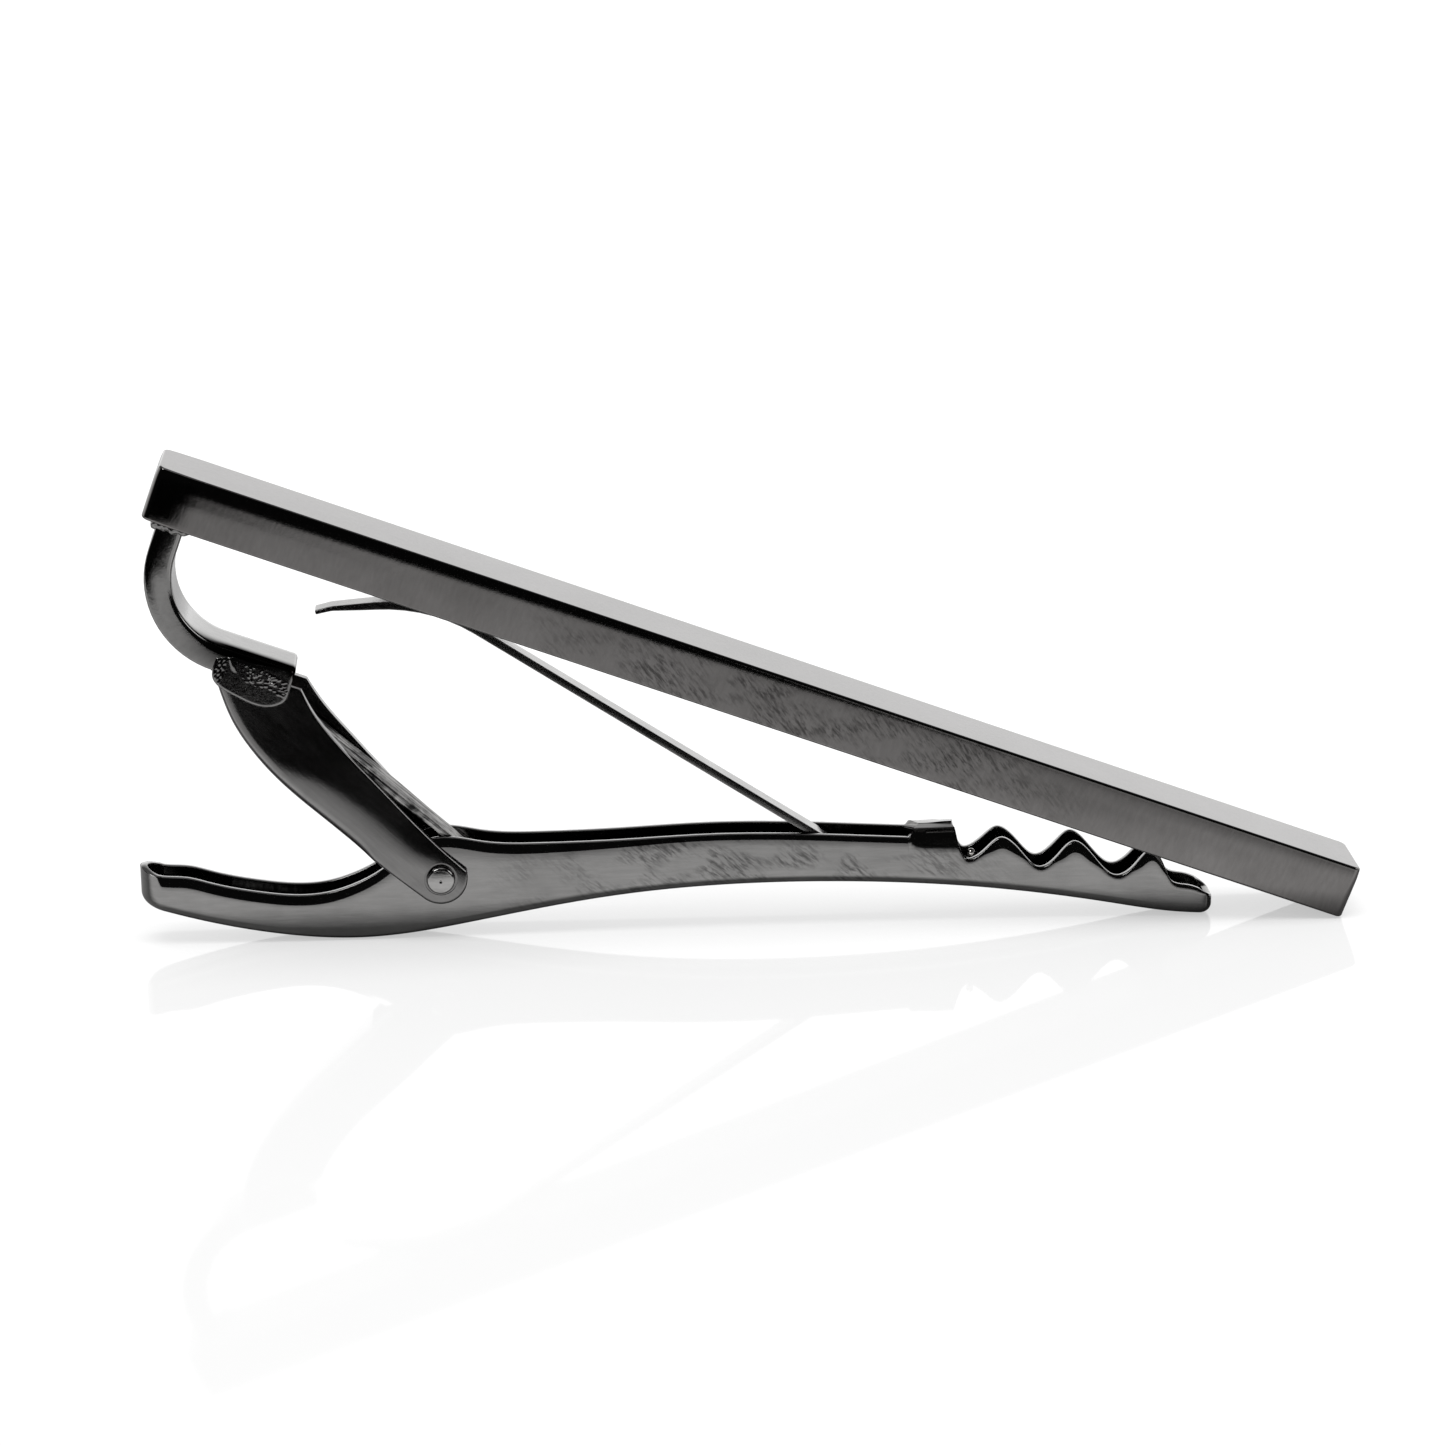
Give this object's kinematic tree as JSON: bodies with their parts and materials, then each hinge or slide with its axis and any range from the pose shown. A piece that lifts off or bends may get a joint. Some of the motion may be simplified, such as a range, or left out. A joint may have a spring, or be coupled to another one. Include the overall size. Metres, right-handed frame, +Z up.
{
  "type": "tie clip",
  "caption": "Slim tie clip: a solid bar soldered to a sprung alligator clip with a toothed channel jaw, a riveted lever and a leaf spring.",
  "frame": {"origin": "bottom centre of the clip's box as it stands closed on the jaw's belly and the bar's front edge", "axes": "+X along the clip from the tail to the teeth, +Y across the bar, +Z up"},
  "size_m": [0.058, 0.004, 0.0235],
  "materials": {
    "gunmetal_bar": "black nickel plate over polished metal, finely brushed along the sides",
    "gunmetal_clip": "black nickel plate over stamped steel sheet, glossy",
    "spring_steel": "plated spring strip with rolling marks",
    "plated_solder": "lumpy solder under the same dark plate"
  },
  "bodies": {
    "jaw": {"jaw": "gunmetal_clip", "hairpin_spring": "spring_steel"},
    "bar": {"bar": "gunmetal_bar", "arm": "gunmetal_clip", "lever": "gunmetal_clip", "rivet": "gunmetal_clip", "bar_solder": "plated_solder", "lever_solder": "plated_solder"},
    "leaf": {"leaf_spring": "spring_steel"}
  },
  "joints": [
    {"name": "lever_pivot", "type": "hinge", "parent": "jaw", "child": "bar", "pos_m": [-0.01484, 0, 0.00311], "axis": [0, -1, 0], "range_deg": [0, 22], "stiffness_Nm_per_rad": 0.25, "springref_deg": -22.92, "deforming": ["hairpin_spring"]},
    {"name": "leaf_flex", "type": "hinge", "parent": "jaw", "child": "leaf", "pos_m": [0.00322, 0, 0.00436], "axis": [0, -1, 0], "range_deg": [0, 4.5], "deforming": ["leaf_spring"]}
  ],
  "couplings": [
    {"joint": "leaf_flex", "follows": "lever_pivot", "ratio": 0.19}
  ]
}
